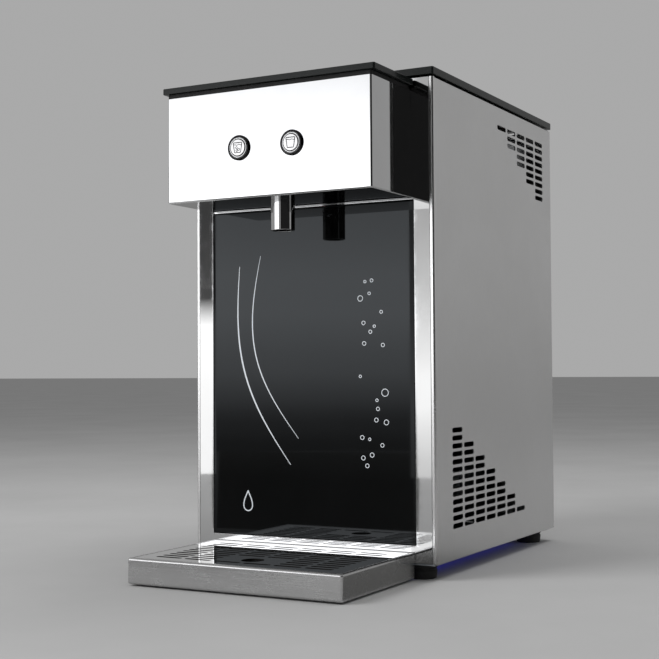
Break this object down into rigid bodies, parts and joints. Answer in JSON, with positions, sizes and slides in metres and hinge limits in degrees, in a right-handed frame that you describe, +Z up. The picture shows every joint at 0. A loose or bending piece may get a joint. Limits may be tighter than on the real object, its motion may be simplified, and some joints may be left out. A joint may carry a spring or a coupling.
{
  "type": "fountain soda dispenser",
  "caption": "Countertop soda dispenser: steel cabinet, overhanging head with push buttons and nozzle, black glass front, stepped side vents and pull-out drip tray.",
  "frame": {"origin": "centre of the footprint of the overall box, on the worktop", "axes": "+X to the user's right, -Y towards the user, +Z up"},
  "size_m": [0.282, 0.524, 0.5035],
  "materials": {
    "mirror_steel": "mirror-polished stainless steel",
    "brushed_steel": "fine brushed stainless steel",
    "zinc_steel": "zinc-plated sheet steel",
    "black_acrylic": "satin black acrylic",
    "black_glass": "gloss black glass with a light printed decoration",
    "rubber": "moulded black rubber",
    "black_nylon": "moulded black nylon",
    "white_nylon": "natural nylon",
    "foam": "white closed-cell foam",
    "aluminium": "mill-finish aluminium",
    "copper": "drawn copper tube",
    "brass": "machined brass",
    "black_enamel": "black enamelled steel",
    "circuit_board": "green solder mask",
    "blue_hose": "blue polyethylene tube",
    "red_plastic": "red moulded plastic",
    "light_blue": "lit blue lamp strip"
  },
  "bodies": {
    "root": {"left_side_panel": "brushed_steel", "right_side_panel": "brushed_steel", "front_plate": "mirror_steel", "base_plate": "zinc_steel", "foot_front_left": "rubber", "foot_rear_left": "rubber", "foot_front_right": "rubber", "foot_rear_right": "rubber", "head_shell": "mirror_steel", "head_gasket": "rubber", "button_bezel_left": "mirror_steel", "button_nut_left": "zinc_steel", "button_switch_left": "black_nylon", "button_bezel_right": "mirror_steel", "button_nut_right": "zinc_steel", "button_switch_right": "black_nylon", "nozzle_tube": "mirror_steel", "nozzle_diffuser": "black_nylon", "nozzle_block": "white_nylon", "still_valve": "black_nylon", "soda_valve": "black_nylon", "glass_panel": "black_glass", "tray_guide_left": "zinc_steel", "tray_guide_right": "zinc_steel", "light_strip": "light_blue", "rear_panel": "brushed_steel", "water_inlet": "brass", "gas_inlet": "brass", "mains_inlet": "black_nylon", "rocker_frame": "black_nylon", "thermostat_body": "zinc_steel", "compressor": "black_enamel", "condenser": "aluminium", "fan_frame": "black_nylon", "mid_shelf": "zinc_steel", "shelf_bracket_left": "zinc_steel", "shelf_bracket_right": "zinc_steel", "cooling_block": "aluminium", "foam_jacket": "foam", "carbonator": "mirror_steel", "pump_motor": "black_enamel", "pump_head": "brass", "power_supply": "aluminium", "control_board": "circuit_board", "water_tube": "blue_hose", "gas_tube": "red_plastic", "soda_tube": "white_nylon", "still_tube": "white_nylon", "pump_hose": "white_nylon", "discharge_line": "copper", "suction_line": "copper"},
    "main_lid": {"main_lid": "black_acrylic"},
    "head_lid": {"head_lid": "black_acrylic"},
    "button_left": {"button_cap_left": "brushed_steel"},
    "button_right": {"button_cap_right": "brushed_steel"},
    "tray": {"drip_tray": "brushed_steel"},
    "grid": {"drip_grid": "mirror_steel"},
    "rocker": {"rocker": "red_plastic"},
    "knob": {"thermostat_knob": "black_nylon"},
    "fan": {"fan_rotor": "black_nylon"}
  },
  "joints": [
    {"name": "button_left_press", "type": "slide", "parent": "root", "child": "button_left", "axis": [0, 1, 0], "range_m": [0, 0.002], "stiffness_N_per_m": 600, "springref_m": -0.002},
    {"name": "button_right_press", "type": "slide", "parent": "root", "child": "button_right", "axis": [0, 1, 0], "range_m": [0, 0.002], "stiffness_N_per_m": 600, "springref_m": -0.002},
    {"name": "tray_slide", "type": "slide", "parent": "root", "child": "tray", "axis": [0, -1, 0], "range_m": [0, 0.16]},
    {"name": "grid_lift", "type": "slide", "parent": "tray", "child": "grid", "axis": [0, 0, 1], "range_m": [0, 0.04]},
    {"name": "main_lid_lift", "type": "slide", "parent": "root", "child": "main_lid", "axis": [0, 0, 1], "range_m": [0, 0.06]},
    {"name": "head_lid_lift", "type": "slide", "parent": "root", "child": "head_lid", "axis": [0, 0, 1], "range_m": [0, 0.04]},
    {"name": "fan_spin", "type": "hinge", "parent": "root", "child": "fan", "pos_m": [0, -0.012, 0.106], "axis": [0, 1, 0], "continuous": true},
    {"name": "rocker_tip", "type": "hinge", "parent": "root", "child": "rocker", "pos_m": [0.062, 0.2412, 0.062], "axis": [1, 0, 0], "range_deg": [0, 14]},
    {"name": "knob_turn", "type": "hinge", "parent": "root", "child": "knob", "pos_m": [0, 0.2388, 0.062], "axis": [0, -1, 0], "range_deg": [0, 270]}
  ]
}
